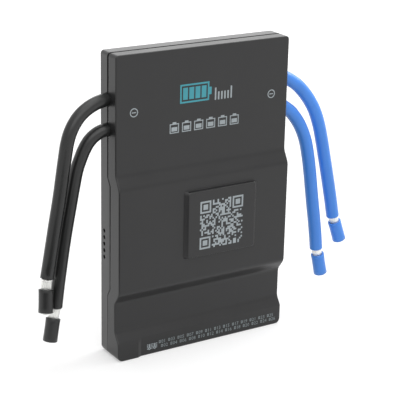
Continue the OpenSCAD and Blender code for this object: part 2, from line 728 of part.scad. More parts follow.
module heat_spreader() color([0.78, 0.79, 0.8]) {
    y0 = spreader_y - spreader_t;
    pitch = (spreader_w - spreader_rim) / fin_count;
    difference() {
        translate([0, 0, outlet_mid]) block([-spreader_w / 2, y0, -spreader_h / 2],
            [spreader_w / 2, spreader_y, spreader_h / 2]);
        for (i = [0:fin_count - 1]) let (x = (i - (fin_count - 1) / 2) * pitch)
            if (abs(x) > board_head_d)
                translate([x, 0, outlet_mid])
                    block([-0.3 * pitch, y0 - 1, -spreader_h],
                        [0.3 * pitch, spreader_y - spreader_base_t, spreader_h]);
        for (p = spreader_screw_xz) translate([p[0], 0, p[1]]) {
            bar_y(y0 - 1, spreader_y + 1, board_screw_d + 2 * screw_clear);
            bar_y(y0 - 1, spreader_seat_y, board_head_d + 2 * screw_clear);
        }
    }
}

module spreader_screws() color([0.75, 0.76, 0.78])
    for (p = spreader_screw_xz) translate([p[0], 0, p[1]])
        pan_screw(spreader_seat_y, board_back - spreader_seat_y + screw_reach);

// Metal strips that bridge two pads of the board.
shunt_l = 12;
module current_shunts() color([0.72, 0.7, 0.68])
    for (i = [0:3]) translate([30 - 7 * i, 0, stage_z0 - strip_gap - shunt_l / 2])
        along_x(4) polygon([for (p = [[0, -shunt_l / 2], [0, -3.5], [2, -2.8], [2, 2.8], [0, 3.5],
            [0, shunt_l / 2], [1, shunt_l / 2], [3, 3.4], [3, -3.4], [1, -shunt_l / 2]])
            [board_front - p[0], p[1]]]);

// ---- Balancing stage ----

// Round can with a crimped neck, standing along +Z on its leads' end.
module can(d, l)
    rotate_extrude()
        polygon([[0, 0], [d / 2 - 0.4, 0], [d / 2, 0.4], [d / 2, 1.6], [d / 2 - 0.5, 2],
            [d / 2 - 0.5, 2.4], [d / 2, 2.8], [d / 2, l - 0.5], [d / 2 - 0.5, l], [0, l]]);

can_pin_pitch = 5;
can_pin_d = 0.8;
can_pin_l = 2;
module balance_capacitors() color([0.12, 0.2, 0.42])
    for (i = [0, 1], k = [0, 1]) {
        x = -board_x + capacitor_margin + i * (capacitor_l + capacitor_space);
        z = mid_z0 + capacitor_rise + k * (capacitor_d + capacitor_gap);
        y = board_front - capacitor_d / 2;
        translate([x, y, z]) rotate([0, 90, 0]) can(capacitor_d, capacitor_l);
        for (s = [-1, 1] * can_pin_pitch / 2) {
            translate([x - can_pin_l, y, z + s]) rotate([0, 90, 0])
                cylinder(d = can_pin_d, h = can_pin_l + 0.5);
            translate([x - can_pin_l, 0, z + s])
                bar_y(y - can_pin_d / 2, board_front, can_pin_d);
        }
    }

inductor_places = [for (i = [0, 1])
    [board_x - inductor_margin - inductor_d / 2, mid_z0 + inductor_rise + i * (inductor_d + inductor_gap)]];
module on_board(p) translate([p[0], board_front, p[1]]) rotate([90, 0, 0]) children();

module inductor_cores() color([0.24, 0.24, 0.26])
    for (p = inductor_places) on_board(p)
        rotate_extrude() polygon([[0, 0], [inductor_d / 2, 0], [inductor_d / 2, 1.5],
            [inductor_d / 4, 1.5], [inductor_d / 4, inductor_h - 1.5],
            [inductor_d / 2, inductor_h - 1.5], [inductor_d / 2, inductor_h], [0, inductor_h]]);

module inductor_coils() color([0.75, 0.42, 0.2])
    for (p = inductor_places) on_board(p) translate([0, 0, 1.5])
        rotate_extrude() polygon(concat([[inductor_d / 4 + 0.05, inductor_h - 3.05],
            [inductor_d / 4 + 0.05, 0.05]],
            [for (i = [0:5]) let (h = (inductor_h - 3.1) / 6) each
                [[inductor_d / 2 - 1.1, 0.05 + h * i], [inductor_d / 2 - 0.7, 0.05 + h * (i + 0.5)]]],
            [[inductor_d / 2 - 1.1, inductor_h - 3.05]]));

module supply_capacitors() color([0.7, 0.72, 0.75])
    for (i = [0, 1])
        on_board([-board_x + supply_margin + supply_d / 2 + i * (supply_d + supply_gap),
            mid_z0 + supply_rise]) can(supply_d, supply_l);

// Square chip with legs on its four sides.
module controller_chip() color([0.09, 0.09, 0.1])
    on_board([0, mid_z0 + controller_rise]) {
        translate([-controller_w / 2, -controller_w / 2, 0.1])
            cube([controller_w, controller_w, 1.4]);
        for (a = [0:90:270], i = [-5:5]) rotate(a)
            translate([controller_w / 2 - 0.2, i * 0.8 - 0.15, 0]) cube([1.2, 0.3, 0.7]);
    }

switch_w = 4;
switch_pitch = 2 * (half_w - boss_inset - boss_d / 2 - switch_gap - switch_w / 2) / (switch_count - 1);
module balance_switches() color([0.1, 0.1, 0.11])
    for (i = [0:switch_count - 1], z = [low_z0 + 4.5, low_z0 + 12.5])
        on_board([(i - (switch_count - 1) / 2) * switch_pitch, z]) {
            translate([-switch_w / 2, -2.5, 0.1]) cube([switch_w, 5, 1.4]);
            for (s = [-1, 1], k = [-1.5:1:1.5])
                translate([k - 0.2, s * 2.8 - 0.5, 0]) cube([0.4, 1, 0.6]);
        }

// Wireless module: its own small board, and a metal can on it.
radio_w = 18;
radio_h = 13;
radio_t = 0.8;
radio_rim = 1;
shield_w = 12;
shield_h = 1.9;
radio_x0 = -board_x + radio_margin;
radio_z0 = stage_z0 - strip_gap - radio_h;
module radio_board() color([0.06, 0.12, 0.3])
    on_board([radio_x0, radio_z0]) cube([radio_w, radio_h, radio_t]);
module radio_shield() color([0.8, 0.8, 0.79])
    on_board([radio_x0 + radio_rim, radio_z0 + radio_rim]) translate([0, 0, radio_t])
        cube([shield_w, radio_h - 2 * radio_rim, shield_h]);

// ---- Leads ----

// Round cord of diameter d along points. Its first face is square to start, where one is given.
module cord(points, d, sides, start) {
    last = len(points) - 1;
    skin([for (i = [0:last])
        let (
            along = points[min(i + 1, last)] - points[max(i - 1, 0)],
            t = unit(i == 0 && !is_undef(start) ? start : along),
            u = unit(cross([0, 1, 0], t)),
            v = cross(t, u))
        [for (k = [0:sides - 1])
            points[i] + d / 2 * (cos(360 * k / sides) * u + sin(360 * k / sides) * v)]]);
}

// Loose piece of insulation on the cut end, from point a down to point b.
module sleeve(a, b, d) {
    axis = b - a;
    translate(a) rotate([0, acos(axis[2] / norm(axis)), atan2(axis[1], axis[0])])
        rotate_extrude() polygon([[strands_d / 2 + slip, 0], [d / 2 - 0.3, 0], [d / 2, 0.5],
            [d / 2, norm(axis) - 0.5], [d / 2 - 0.3, norm(axis)], [strands_d / 2 + slip, norm(axis)]]);
}

module black_lead(route) color([0.06, 0.06, 0.065]) cord(route, lead_d, 12);
module blue_lead(route) color([0.1, 0.32, 0.8]) cord(route, lead_d, 12);

// Bare strands that leave the end of a lead square to its cut face.
module strands(lead, route) color([0.88, 0.88, 0.86])
    cord(route, strands_d, 12, lead[len(lead) - 1] - lead[len(lead) - 2]);

module discharge_lead_upper() black_lead(discharge_upper_route);
module discharge_strands_upper() strands(discharge_upper_route, discharge_upper_end);
module discharge_sleeve_upper() color([0.06, 0.06, 0.065])
    sleeve(discharge_upper_end[2], discharge_upper_end[3], black_sleeve_d);
module discharge_lead_lower() black_lead(discharge_lower_route);
module discharge_strands_lower() strands(discharge_lower_route, discharge_lower_end);
module discharge_sleeve_lower() color([0.06, 0.06, 0.065])
    sleeve(discharge_lower_end[2], discharge_lower_end[3], black_sleeve_d);
module battery_lead_upper() blue_lead(battery_upper_route);
module battery_strands_upper() strands(battery_upper_route, battery_upper_end);
module battery_sleeve_upper() color([0.1, 0.32, 0.8])
    sleeve(battery_upper_end[2], battery_upper_end[3], blue_sleeve_d);
module battery_lead_lower() blue_lead(battery_lower_route);
module battery_strands_lower() strands(battery_lower_route, battery_lower_end);
module battery_sleeve_lower() color([0.1, 0.32, 0.8])
    sleeve(battery_lower_end[2], battery_lower_end[3], blue_sleeve_d);

front_cover();
rear_cover();
case_screws();
circuit_board();
board_screws();
balance_header_left();
balance_header_right();
temperature_header();
balance_pins();
temperature_pins();
discharge_terminal();
battery_terminal();
power_transistors();
thermal_pad();
heat_spreader();
spreader_screws();
current_shunts();
balance_capacitors();
inductor_cores();
inductor_coils();
supply_capacitors();
controller_chip();
balance_switches();
radio_board();
radio_shield();
indicator_lights();
discharge_conductors();
battery_conductors();
discharge_lead_upper();
discharge_strands_upper();
discharge_sleeve_upper();
discharge_lead_lower();
discharge_strands_lower();
discharge_sleeve_lower();
battery_lead_upper();
battery_strands_upper();
battery_sleeve_upper();
battery_lead_lower();
battery_strands_lower();
battery_sleeve_lower();
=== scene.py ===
"""Battery management board in a black two-part case, on a white studio floor.

Metres. X runs across the case, Y from the printed front (-Y) to the flat back (+Y), Z up.
"""
import json
import math
import random

import bmesh
import bpy
from mathutils import Matrix, Vector


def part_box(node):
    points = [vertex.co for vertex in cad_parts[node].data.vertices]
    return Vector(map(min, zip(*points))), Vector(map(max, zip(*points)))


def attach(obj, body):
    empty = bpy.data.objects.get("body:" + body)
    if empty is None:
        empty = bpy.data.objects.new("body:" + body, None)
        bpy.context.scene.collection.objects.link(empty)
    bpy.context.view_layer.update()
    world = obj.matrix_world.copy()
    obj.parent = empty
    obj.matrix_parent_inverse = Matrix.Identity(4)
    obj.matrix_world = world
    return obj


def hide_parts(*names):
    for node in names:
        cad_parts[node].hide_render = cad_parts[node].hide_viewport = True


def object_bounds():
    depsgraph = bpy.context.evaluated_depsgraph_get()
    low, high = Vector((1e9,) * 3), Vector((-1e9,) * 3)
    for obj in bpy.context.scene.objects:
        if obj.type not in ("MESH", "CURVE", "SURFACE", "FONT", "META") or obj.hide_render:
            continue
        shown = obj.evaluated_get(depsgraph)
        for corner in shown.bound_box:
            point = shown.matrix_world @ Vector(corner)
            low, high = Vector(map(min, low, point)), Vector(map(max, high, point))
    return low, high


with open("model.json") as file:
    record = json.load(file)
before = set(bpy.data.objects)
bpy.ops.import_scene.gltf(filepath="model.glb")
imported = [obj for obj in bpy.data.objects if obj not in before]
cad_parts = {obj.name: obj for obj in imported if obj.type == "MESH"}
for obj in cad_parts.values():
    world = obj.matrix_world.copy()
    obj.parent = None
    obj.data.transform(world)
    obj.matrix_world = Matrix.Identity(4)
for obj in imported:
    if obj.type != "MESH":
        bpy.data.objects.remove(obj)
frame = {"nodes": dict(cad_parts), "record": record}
CAD_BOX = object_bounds()

MM = 0.001
# Planes that carry print: the case's upper front, the raised pad's face and the floor of the
# recess in the lip.
PANEL_Y = -5.0 * MM
PAD_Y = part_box("front_cover")[0].y
LABEL_Y = -7.2 * MM

# Width of a lead in its outlet.
LEAD_D = 6.8 * MM
# How much thicker the insulation is out of the case than in its outlet.
SWELL = {"discharge": 1.01, "battery": 1.05}
# Bundle of bare wires at a lead's end.
STRANDS_D = 5.4 * MM
WIRE_R = 0.21 * MM
WIRES = 45
# Width of a loose sleeve's cut ends, how much narrower its middle is, and the gap in its bore.
SLEEVE_D = {"discharge": 7.6 * MM, "battery": 7.5 * MM}
SLEEVE_FLARE = 0.1 * MM
SLEEVE_GAP = 0.15 * MM


# ---- Small helpers ----

def link(obj):
    bpy.context.scene.collection.objects.link(obj)
    return obj


def mesh_piece(name, bm, material, smooth=False):
    """Object on the root body from a bmesh."""
    mesh = bpy.data.meshes.new(name)
    bmesh.ops.recalc_face_normals(bm, faces=bm.faces)
    bm.to_mesh(mesh)
    bm.free()
    for polygon in mesh.polygons:
        polygon.use_smooth = smooth
    mesh.materials.append(material)
    obj = link(bpy.data.objects.new(name, mesh))
    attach(obj, "root")
    return obj


class Nodes:
    """Short way to add and join shader nodes."""

    def __init__(self, owner):
        owner.use_nodes = True
        self.tree = owner.node_tree
        self.tree.nodes.clear()

    def add(self, kind, **inputs):
        node = self.tree.nodes.new("ShaderNode" + kind)
        for name, value in inputs.items():
            socket = node.inputs[name.replace("_", " ")]
            if isinstance(value, bpy.types.NodeSocket):
                self.tree.links.new(value, socket)
            else:
                socket.default_value = value
        return node

    def join(self, output, socket):
        self.tree.links.new(output, socket)

    def ramp(self, factor, stops):
        """Colour ramp with stops of (position, colour)."""
        node = self.add("ValToRGB", Fac=factor)
        elements = node.color_ramp.elements
        while len(elements) < len(stops):
            elements.new(0.5)
        for element, (position, colour) in zip(elements, stops):
            element.position = position
            element.color = (*colour, 1)
        return node.outputs["Color"]

    def noise(self, scale, stretch):
        """Noise in the piece's own coordinates. stretch scales each axis."""
        place = self.add("TexCoord").outputs["Object"]
        mapping = self.add("Mapping", Vector=place)
        mapping.inputs["Scale"].default_value = stretch
        node = self.add("TexNoise", Vector=mapping.outputs["Vector"], Scale=scale,
                        Detail=NOISE_DETAIL)
        return node.outputs["Fac"]


NOISE_DETAIL = 3
BEVEL_SAMPLES = 6
# Soft patches of colour and gloss: how many a metre, and the noise at their darkest and lightest.
PATCH_SCALE = 60
PATCH_DARK, PATCH_LIGHT = 0.3, 0.7


def shade(colour, factor):
    return tuple(min(1.0, c * factor) for c in colour)


def surface(name, colour, roughness, grain=900, depth=0.01, spread=0.08, rough_spread=0.05,
            bevel=0.0, stretch=(1, 1, 1), metallic=0.0, specular=0.5, coat=0.0):
    """Moulded, rubber or metal surface.

    Its colour and roughness vary by spread and rough_spread in soft patches. Its grain is a fine
    bump, depth millimetres deep. bevel rounds sharp edges, in metres.
    """
    material = bpy.data.materials.new(name)
    nodes = Nodes(material)
    patches = nodes.noise(PATCH_SCALE, stretch)
    fine = nodes.noise(grain, stretch)
    tint = nodes.ramp(patches, [(PATCH_DARK, shade(colour, 1 - spread)),
                                (PATCH_LIGHT, shade(colour, 1 + spread))])
    gloss = nodes.add("MapRange", Value=patches)
    gloss.inputs["To Min"].default_value = roughness - rough_spread
    gloss.inputs["To Max"].default_value = roughness + rough_spread
    bump = nodes.add("Bump", Height=fine, Strength=1.0, Distance=depth * MM)
    if bevel:
        rounded = nodes.add("Bevel", Radius=bevel)
        rounded.samples = BEVEL_SAMPLES
        nodes.join(rounded.outputs["Normal"], bump.inputs["Normal"])
    shader = nodes.add("BsdfPrincipled", Base_Color=tint, Roughness=gloss.outputs["Result"],
                       Normal=bump.outputs["Normal"], Metallic=metallic)
    shader.inputs["Specular IOR Level"].default_value = specular
    shader.inputs["Coat Weight"].default_value = coat
    nodes.join(shader.outputs["BSDF"], nodes.add("OutputMaterial").inputs["Surface"])
    return material


# ---- Camera ----

CAMERA_AT = Vector((-0.3561, -0.5705, 0.3132))
CAMERA_FORWARD = Vector((0.50162, 0.79994, -0.32935))
CAMERA_ROLL = math.radians(1.275)

camera = link(bpy.data.objects.new("camera", bpy.data.cameras.new("camera")))
camera.data.sensor_width = 36
camera.data.lens = 122.4
camera.location = CAMERA_AT
turn = CAMERA_FORWARD.to_track_quat("-Z", "Y").to_matrix() @ Matrix.Rotation(CAMERA_ROLL, 3, "Z")
camera.rotation_euler = turn.to_euler()
camera.data.clip_start = 0.01
camera.data.clip_end = 50
bpy.context.scene.camera = camera


# ---- Leads ----

BLACK_RUBBER = (0.014, 0.0145, 0.0145)
BLUE_RUBBER = (0.047, 0.240, 0.77)
# Draws the patches of colour out along the hanging leads.
ALONG_LEAD = (1, 1, 0.12)

black_rubber = surface("black_silicone", BLACK_RUBBER, 0.30, grain=1500, depth=0.02, spread=0.25,
                       rough_spread=0.08, stretch=ALONG_LEAD, specular=0.45)
blue_rubber = surface("blue_silicone", BLUE_RUBBER, 0.40, grain=1500, depth=0.015, spread=0.08,
                      stretch=ALONG_LEAD, specular=0.62)
tinned = surface("tinned_copper", (0.92, 0.92, 0.89), 0.46, grain=2500, depth=0.01, spread=0.10,
                 metallic=1.0)

# Points that each lead follows, from inside the case to its cut end.
ROUTES = {
    "discharge_upper": [
        (-0.0479, 0.0035, 0.1385), (-0.0514, 0.0035, 0.1385), (-0.055, 0.0033, 0.138),
        (-0.059, 0.003, 0.137), (-0.063, 0.0027, 0.1352), (-0.0668, 0.0024, 0.1326),
        (-0.0698, 0.0021, 0.1294), (-0.0723, 0.0018, 0.1255), (-0.0741, 0.0016, 0.121),
        (-0.076, 0.0015, 0.1115), (-0.0776, 0.0015, 0.1015), (-0.0793, 0.0015, 0.091),
        (-0.0812, 0.0015, 0.081), (-0.0831, 0.0015, 0.0705), (-0.085, 0.0015, 0.06),
        (-0.0867, 0.0015, 0.0508)],
    "discharge_lower": [
        (-0.0479, 0.0035, 0.123), (-0.0514, 0.0035, 0.123), (-0.0545, 0.0036, 0.1226),
        (-0.058, 0.0038, 0.121), (-0.0612, 0.0041, 0.1182), (-0.0637, 0.0045, 0.1142),
        (-0.0657, 0.0048, 0.1095), (-0.0675, 0.005, 0.1045), (-0.0696, 0.005, 0.0955),
        (-0.0716, 0.005, 0.0855), (-0.0736, 0.005, 0.0755), (-0.0755, 0.005, 0.065),
        (-0.0772, 0.005, 0.0545), (-0.0788, 0.005, 0.044), (-0.0803, 0.005, 0.0326)],
    "battery_upper": [
        (0.0479, 0.0035, 0.1385), (0.0514, 0.0035, 0.1385), (0.0542, 0.0035, 0.138),
        (0.0573, 0.0035, 0.1366), (0.0606, 0.0035, 0.1346), (0.0639, 0.0035, 0.1322),
        (0.0675, 0.0035, 0.1287), (0.0707, 0.0035, 0.125), (0.0734, 0.0035, 0.1212),
        (0.0758, 0.0035, 0.1172), (0.0792, 0.0035, 0.109), (0.0818, 0.0035, 0.1),
        (0.0841, 0.0035, 0.0905), (0.0864, 0.0035, 0.081), (0.0887, 0.0035, 0.071),
        (0.0908, 0.0035, 0.0615), (0.0926, 0.0035, 0.0526)],
    "battery_lower": [
        (0.0479, 0.0035, 0.123), (0.0514, 0.0035, 0.123), (0.0544, 0.0035, 0.122),
        (0.0576, 0.0035, 0.12), (0.0602, 0.0035, 0.1179), (0.0626, 0.0035, 0.1152),
        (0.0652, 0.0035, 0.1118), (0.0675, 0.0035, 0.108), (0.0694, 0.0035, 0.104),
        (0.071, 0.0035, 0.0998), (0.0732, 0.0035, 0.091), (0.0749, 0.0035, 0.082),
        (0.0764, 0.0035, 0.0725), (0.0779, 0.0035, 0.063), (0.0795, 0.0035, 0.0535),
        (0.081, 0.0035, 0.0436), (0.0821, 0.0035, 0.035)],
}
# Bare end of each lead: its start, a bend, and the middles of its loose sleeve's two cuts.
BARE_ENDS = {
    "discharge_upper": [
        (-0.0867, 0.0015, 0.0508), (-0.087, 0.0015, 0.0485), (-0.0872, 0.0015, 0.0452),
        (-0.0876, 0.0015, 0.0324)],
    "discharge_lower": [
        (-0.0803, 0.005, 0.0326), (-0.0809, 0.005, 0.0302), (-0.0818, 0.005, 0.027),
        (-0.0838, 0.005, 0.0146)],
    "battery_upper": [
        (0.0926, 0.0035, 0.0526), (0.0931, 0.0035, 0.0512), (0.094, 0.0035, 0.0494),
        (0.0982, 0.0035, 0.0377)],
    "battery_lower": [
        (0.0821, 0.0035, 0.035), (0.0824, 0.0035, 0.0334), (0.0832, 0.0035, 0.0316),
        (0.086, 0.0035, 0.0194)],
}

# Slope of the cuts that aren't square: the lead's end, and its sleeve's upper and lower ends. A
# cut slopes down along AWAY.
CUT_SLOPE = {"discharge_upper": (0.25, 0.30, 0.28), "discharge_lower": (0.0, 0.25, 0.10)}
SQUARE_CUTS = (0.0, 0.0, 0.0)
# Level direction away from the camera.
AWAY = Vector((0.53, 0.85, 0))


def axes_across(direction):
    """Two directions square to a direction."""
    across = Vector((0, 1, 0)).cross(direction).normalized()
    return across, direction.cross(across)


def direction_at(points, i):
    """Direction of a line of points at one of them."""
    return (points[min(i + 1, len(points) - 1)] - points[max(i - 1, 0)]).normalized()


def tube(bm, points, radius, sides):
    """Round bar along points, with its two ends closed."""
    turns = [2 * math.pi * k / sides for k in range(sides)]
    rings = []
    for i, point in enumerate(points):
        u, v = axes_across(direction_at(points, i))
        rings.append([bm.verts.new(point + radius * (math.cos(a) * u + math.sin(a) * v))
                      for a in turns])
    for low, high in zip(rings, rings[1:]):
        for k in range(sides):
            bm.faces.new((low[k], low[(k + 1) % sides], high[(k + 1) % sides], high[k]))
    bm.faces.new(rings[0])
    bm.faces.new(rings[-1])


def lead_curve(name, points, material, slope, swell):
    """Insulation as one smooth curve. A square cut has a little rounded edge."""
    edge = 0.3 * MM
    edge_width = 0.93
    slope_reach = 3 * MM
    curve = bpy.data.curves.new(name, "CURVE")
    curve.dimensions = "3D"
    curve.bevel_depth = LEAD_D / 2
    curve.bevel_resolution = 8
    curve.resolution_u = 10
    curve.use_fill_caps = True
    spline = curve.splines.new("BEZIER")
    stops = [Vector(p) for p in points]
    back = (stops[-2] - stops[-1]).normalized()
    if not slope:
        stops.insert(-1, stops[-1] + edge * back)
    spline.bezier_points.add(len(stops) - 1)
    for point, place in zip(spline.bezier_points, stops):
        point.co = place
        point.handle_left_type = point.handle_right_type = "AUTO"
    for point in spline.bezier_points[2:]:
        point.radius = swell
    end = spline.bezier_points[-1]
    if slope:
        end.handle_left_type = end.handle_right_type = "FREE"
        lean = slope_reach * (back + slope * AWAY)
        end.handle_left, end.handle_right = end.co + lean, end.co - lean
    else:
        end.radius = edge_width * swell
    curve.materials.append(material)
    return link(bpy.data.objects.new(name, curve))


def smooth_line(points, count):
    """Catmull-Rom line through points, in count steps a span."""
    p = [Vector(q) for q in points]
    p = [2 * p[0] - p[1]] + p + [2 * p[-1] - p[-2]]
    line = []
    for a, b, c, d in zip(p, p[1:], p[2:], p[3:]):
        for step in range(count):
            t = step / count
            line.append(0.5 * (2 * b + (c - a) * t + (2 * a - 5 * b + 4 * c - d) * t ** 2
                               + (3 * b - a - 3 * c + d) * t ** 3))
    return line + [p[-2]]


def strands_mesh(name, points, bundle_r, seed):
    """Tinned wires in a loose twist round a core. The first of each bunch lies deeper."""
    core_depth = 0.35 * MM
    core_sides = 24
    wire_sides = 5
    bunch = 5
    groove = 0.2 * MM
    unevenness = 0.12
    rng = random.Random(seed)
    line = smooth_line(points, 6)
    bm = bmesh.new()
    tube(bm, line, bundle_r - core_depth, core_sides)
    for w in range(WIRES):
        start = 2 * math.pi * (w + rng.uniform(-0.3, 0.3)) / WIRES
        twist = rng.uniform(0.5, 0.8)
        ring_r = bundle_r - WIRE_R - rng.uniform(0, unevenness) * MM - (w % bunch == 0) * groove
        path = []
        for i, point in enumerate(line):
            u, v = axes_across(direction_at(line, i))
            a = start + twist * i / len(line)
            path.append(point + ring_r * (math.cos(a) * u + math.sin(a) * v))
        tube(bm, path, WIRE_R, wire_sides)
    return mesh_piece(name, bm, tinned, smooth=True)


def sleeve_mesh(name, top, bottom, radius, bore, flare, slopes, material):
    """Loose length of insulation. flare is how much wider its cut ends are than its middle."""
    edge = 0.25 * MM
    sides = 40
    length = (bottom - top).length
    along = (bottom - top).normalized()
    u, v = axes_across(along)
    wide = radius + flare
    waist = radius + 0.3 * flare
    # Section of the wall, as (distance from the upper cut, distance from the axis).
    stops = [(0.0, wide - edge), (0.0, bore + edge), (edge, bore), (length - edge, bore),
             (length, bore + edge), (length, wide - edge), (length - edge, wide),
             (length * 0.8, waist), (length * 0.5, radius), (length * 0.2, waist), (edge, wide)]
    bm = bmesh.new()
    rings = []
    for k in range(sides):
        a = 2 * math.pi * k / sides
        out = math.cos(a) * u + math.sin(a) * v
        ring = []
        for z, r in stops:
            slope = slopes[0] + (slopes[1] - slopes[0]) * z / length
            drop = z + slope * r * out.dot(AWAY)
            ring.append(bm.verts.new(top + along * drop + out * r))
        rings.append(ring)
    for k in range(sides):
        here, there = rings[k], rings[(k + 1) % sides]
        for i in range(len(stops)):
            j = (i + 1) % len(stops)
            bm.faces.new((here[i], here[j], there[j], there[i]))
    return mesh_piece(name, bm, material, smooth=True)


for seed, (name, points) in enumerate(ROUTES.items()):
    side, level = name.split("_")
    rubber = black_rubber if side == "discharge" else blue_rubber
    bare = [Vector(p) for p in BARE_ENDS[name]]
    cuts = CUT_SLOPE.get(name, SQUARE_CUTS)
    lead = lead_curve(f"lead_{name}", points, rubber, cuts[0], SWELL[side])
    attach(lead, "root")
    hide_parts(f"{side}_lead_{level}")
    strands = strands_mesh(f"strands_{name}", bare, STRANDS_D / 2, seed)
    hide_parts(f"{side}_strands_{level}")
    sleeve = sleeve_mesh(f"sleeve_{name}", bare[2], bare[3], SLEEVE_D[side] / 2 - SLEEVE_FLARE,
                         STRANDS_D / 2 + SLEEVE_GAP, SLEEVE_FLARE, cuts[1:], rubber)
    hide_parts(f"{side}_sleeve_{level}")


# ---- Print on the case ----

INK_T = 0.03 * MM
ink_white = surface("print_white", (0.34, 0.38, 0.40), 0.55, grain=3000, depth=0.002)
ink_fine = surface("print_fine", (0.21, 0.245, 0.255), 0.55, grain=3000, depth=0.002)
ink_teal = surface("print_teal", (0.05, 0.30, 0.36), 0.5, grain=3000, depth=0.002)


class Print:
    """Flat ink on one plane that faces the front, drawn in millimetres of X and Z.

    Each line argument is the width of the lines.
    """

    def __init__(self, plane_y):
        self.bm = bmesh.new()
        self.y = plane_y

    def polygon(self, outline):
        """One filled outline, as a thin plate that is half sunk into the plastic."""
        front = [self.bm.verts.new((x * MM, self.y - INK_T, z * MM)) for x, z in outline]
        back = [self.bm.verts.new((x * MM, self.y + INK_T, z * MM)) for x, z in outline]
        self.bm.faces.new(front)
        self.bm.faces.new(back[::-1])
        for i in range(len(outline)):
            j = (i + 1) % len(outline)
            self.bm.faces.new((front[j], front[i], back[i], back[j]))

    def box(self, x0, z0, x1, z1):
        self.polygon([(x0, z0), (x1, z0), (x1, z1), (x0, z1)])

    def frame(self, x0, z0, x1, z1, line):
        """Outline of a box, drawn inside it."""
        self.box(x0, z0, x1, z0 + line)
        self.box(x0, z1 - line, x1, z1)
        self.box(x0, z0 + line, x0 + line, z1 - line)
        self.box(x1 - line, z0 + line, x1, z1 - line)

    def ring(self, x, z, r, line, sides=40):
        for k in range(sides):
            a, b = (2 * math.pi * (k + e) / sides for e in (0, 1))
            self.polygon([(x + q * math.cos(t), z + q * math.sin(t))
                          for q, t in ((r - line, a), (r, a), (r, b), (r - line, b))])

    def finish(self, name, material):
        return mesh_piece(name, self.bm, material)


def minus_sign(ink, x, z):
    """Minus sign in a ring."""
    line = 0.5
    half = 1.2
    ink.ring(x, z, 2.3, line)
    ink.box(x - half, z - line / 2, x + half, z + line / 2)


def cell_row(ink, x0, z0, count, pitch, w, h):
    """Row of plain battery cells, each with its terminal on top and half full."""
    line = 0.5
    terminal_h = 0.8
    inset = 1.0
    for i in range(count):
        x = x0 + i * pitch
        shoulder = z0 + h - terminal_h
        ink.frame(x, z0, x + w, shoulder, line)
        ink.box(x + w * 0.3, shoulder, x + w * 0.7, z0 + h)
        ink.box(x + inset, z0 + inset, x + w - inset, z0 + h * 0.55)


def battery_sign(ink, x0, z0, w, h):
    """Plain lying battery, filled with bars."""
    bars = 4
    line = 0.9
    gap = 0.8
    inset = 1.8
    terminal_w = 1.4
    body_w = w - terminal_w
    ink.frame(x0, z0, x0 + body_w, z0 + h, line)
    ink.box(x0 + body_w, z0 + h * 0.3, x0 + w, z0 + h * 0.7)
    bar = (body_w - line * 2 - gap * (bars + 1)) / bars
    for i in range(bars):
        x = x0 + line + gap + i * (bar + gap)
        ink.box(x, z0 + inset, x + bar, z0 + h - inset)


def block_pattern(ink, x0, z0, side, cells, seed):
    """Made-up pattern of random blocks that holds no data, with plain squares in three corners."""
    rng = random.Random(seed)
    step = side / cells
    corner = 7
    core = 3
    margin = (corner - core) / 2 * step
    far = cells - corner
    corners = ((0, 0), (far, 0), (0, far))
    for row in range(cells):
        # Blocks side by side in a row are drawn as one bar.
        run = None
        for col in range(cells + 1):
            in_corner = any(a - 1 <= col <= a + corner and b - 1 <= row <= b + corner
                            for a, b in corners)
            filled = col < cells and not in_corner and rng.random() < 0.5
            if filled and run is None:
                run = col
            if not filled and run is not None:
                ink.box(x0 + run * step, z0 + side - (row + 1) * step, x0 + col * step,
                        z0 + side - row * step)
                run = None
    for col, row in corners:
        x, z = x0 + col * step, z0 + side - (row + corner) * step
        ink.frame(x, z, x + corner * step, z + corner * step, step)
        ink.box(x + margin, z + margin, x + margin + core * step, z + margin + core * step)


def scale_marks(ink, x0, z0, count, pitch, line, low, high):
    """Scale of upright ticks. Each fifth one is high."""
    for i in range(count):
        x = x0 + i * pitch
        ink.box(x, z0, x + line, z0 + (high if i % 5 == 0 else low))


def thermometer_sign(ink, x, z):
    """Plain upright thermometer between two scales."""
    steps = 4
    pitch = 0.8
    ink.ring(x, z - 0.9, 0.8, 0.5)
    ink.box(x - 0.4, z - 0.3, x + 0.4, z + 1.6)
    for i in range(steps):
        for side in (-1.1, 1.1):
            z0 = z - 1.2 + i * pitch
            ink.box(x + side - 0.35, z0, x + side + 0.35, z0 + pitch / 2)


def number_strip(name, plane_y, rows, height):
    """Rows of two-digit numbers. rows holds, for each row, its first number, the step between its
    numbers, the first one's x, their pitch, their middle's z and their count."""
    digit_share = 0.7  # A digit's height in the height of the type.
    weld = 1e-7
    bm = bmesh.new()
    for first, step, x0, pitch, z, count in rows:
        for i in range(count):
            text = bpy.data.curves.new("number", "FONT")
            text.body = f"{first + step * i:02d}"
            text.size = height / digit_share * MM
            text.align_x = "CENTER"
            text.resolution_u = 2
            text.extrude = INK_T
            carrier = link(bpy.data.objects.new("number", text))
            shape = bpy.data.meshes.new_from_object(carrier)
            place = Matrix.Translation(((x0 + i * pitch) * MM, plane_y, (z - height / 2) * MM))
            shape.transform(place @ Matrix.Rotation(math.pi / 2, 4, "X"))
            bm.from_mesh(shape)
            bpy.data.objects.remove(carrier)
            bpy.data.curves.remove(text)
            bpy.data.meshes.remove(shape)
    bmesh.ops.remove_doubles(bm, verts=bm.verts, dist=weld)
    mesh_piece(name, bm, ink_fine)


def contact_marks(ink, rows, left, w, h, line):
    """Plain frame on the left of each number of number_strip's rows."""
    for _, _, x0, pitch, z, count in rows:
        for i in range(count):
            x = x0 + i * pitch - left
            ink.frame(x - w / 2, z - h / 2, x + w / 2, z + h / 2, line)


